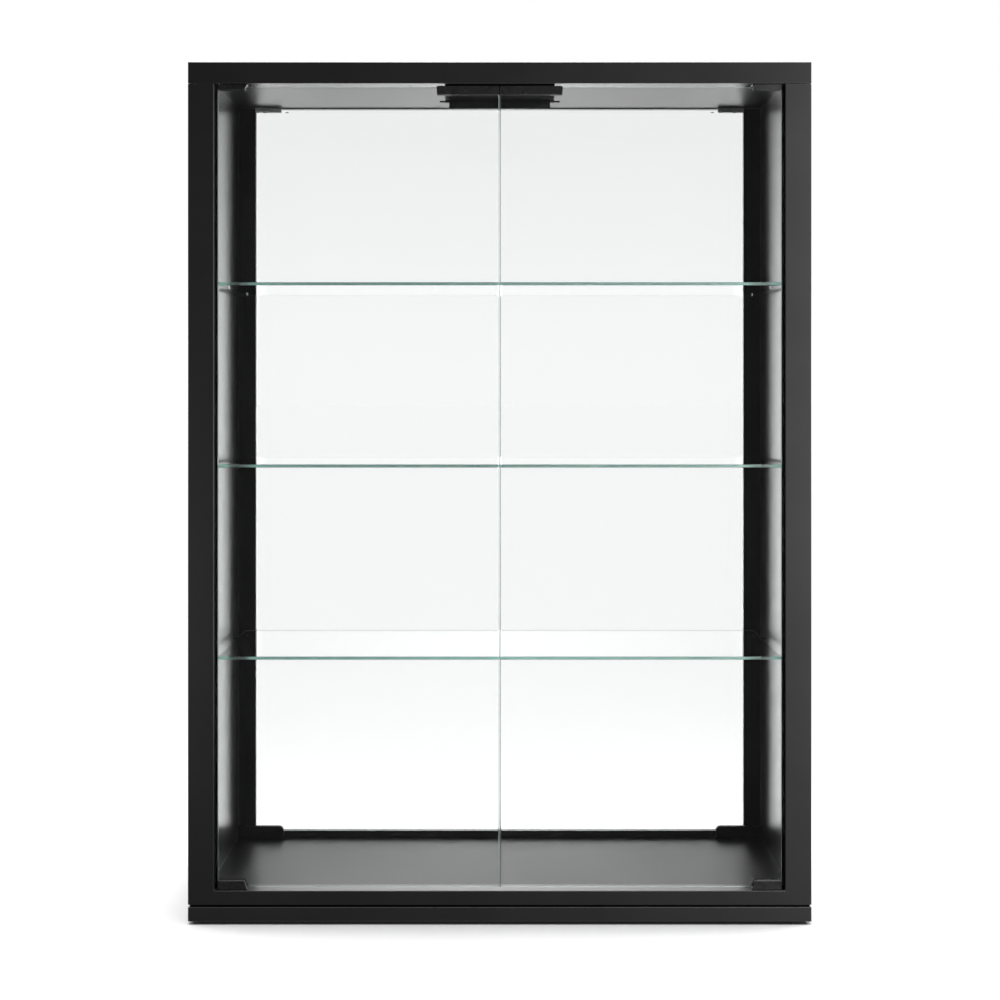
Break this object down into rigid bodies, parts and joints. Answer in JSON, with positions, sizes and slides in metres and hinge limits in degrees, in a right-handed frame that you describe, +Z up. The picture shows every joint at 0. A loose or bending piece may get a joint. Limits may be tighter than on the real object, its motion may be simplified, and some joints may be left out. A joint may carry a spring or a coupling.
{
  "type": "display case",
  "caption": "Black lacquered display case with clear glass shelves, a clear glass back, two pivoted frameless glass doors and a touch latch under its top.",
  "frame": {"origin": "on the ground under the middle of the case", "axes": "+Z up, +X to the right seen from the front, the doors face -Y"},
  "size_m": [0.6, 0.22, 0.83],
  "materials": {
    "black_lacquer": "satin black lacquer on board",
    "matt_black": "matt black edging",
    "clear_glass": "clear float glass, green polished edges",
    "rubber": "matt black rubber",
    "black_metal": "black powder coat on steel",
    "zinc_plate": "dull zinc plating on steel",
    "black_plastic": "moulded black plastic",
    "clear_plastic": "clear polycarbonate",
    "nylon": "natural nylon",
    "spring_steel": "bright spring wire"
  },
  "bodies": {
    "cabinet": {"back_bottom_rail": "black_lacquer", "back_gasket": "rubber", "back_glass": "clear_glass", "back_top_rail": "black_lacquer", "base_plate": "black_lacquer", "bottom_panel": "black_lacquer", "foot_front_left": "rubber", "foot_front_right": "rubber", "foot_rear_left": "rubber", "foot_rear_right": "rubber", "front_frame": "black_lacquer", "latch_cover": "black_plastic", "latch_housing": "black_plastic", "left_back_stile": "black_lacquer", "left_bottom_bush": "nylon", "left_corner_block": "black_plastic", "left_side_panel": "black_lacquer", "left_spring": "spring_steel", "left_stop_strip": "matt_black", "left_top_bush": "nylon", "left_top_plate": "zinc_plate", "lower_pin_front_left": "clear_plastic", "lower_pin_front_right": "clear_plastic", "lower_pin_rear_left": "clear_plastic", "lower_pin_rear_right": "clear_plastic", "lower_shelf": "clear_glass", "middle_pin_front_left": "clear_plastic", "middle_pin_front_right": "clear_plastic", "middle_pin_rear_left": "clear_plastic", "middle_pin_rear_right": "clear_plastic", "middle_shelf": "clear_glass", "plinth_spacer": "matt_black", "right_back_stile": "black_lacquer", "right_bottom_bush": "nylon", "right_corner_block": "black_plastic", "right_side_panel": "black_lacquer", "right_spring": "spring_steel", "right_stop_strip": "matt_black", "right_top_bush": "nylon", "right_top_plate": "zinc_plate", "top_front_rail": "black_lacquer", "top_panel": "black_lacquer", "upper_pin_front_left": "clear_plastic", "upper_pin_front_right": "clear_plastic", "upper_pin_rear_left": "clear_plastic", "upper_pin_rear_right": "clear_plastic", "upper_shelf": "clear_glass"},
    "left_door": {"left_door_glass": "clear_glass", "left_bottom_clamp": "black_metal", "left_top_clamp": "black_metal", "left_strike": "black_metal"},
    "right_door": {"right_door_glass": "clear_glass", "right_bottom_clamp": "black_metal", "right_top_clamp": "black_metal", "right_strike": "black_metal"},
    "left_plunger": {"left_plunger": "black_plastic"},
    "right_plunger": {"right_plunger": "black_plastic"}
  },
  "joints": [
    {"name": "left_door_hinge", "type": "hinge", "parent": "cabinet", "child": "left_door", "pos_m": [-0.265, -0.104, 0.42], "axis": [0, 0, -1], "range_deg": [0, 110]},
    {"name": "right_door_hinge", "type": "hinge", "parent": "cabinet", "child": "right_door", "pos_m": [0.265, -0.104, 0.42], "axis": [0, 0, 1], "range_deg": [0, 110]},
    {"name": "left_plunger_slide", "type": "slide", "parent": "cabinet", "child": "left_plunger", "axis": [0, 1, 0], "range_m": [0, 0.0026], "stiffness_N_per_m": 300, "springref_m": -0.004, "deforming": ["left_spring"]},
    {"name": "right_plunger_slide", "type": "slide", "parent": "cabinet", "child": "right_plunger", "axis": [0, 1, 0], "range_m": [0, 0.0026], "stiffness_N_per_m": 300, "springref_m": -0.004, "deforming": ["right_spring"]}
  ]
}
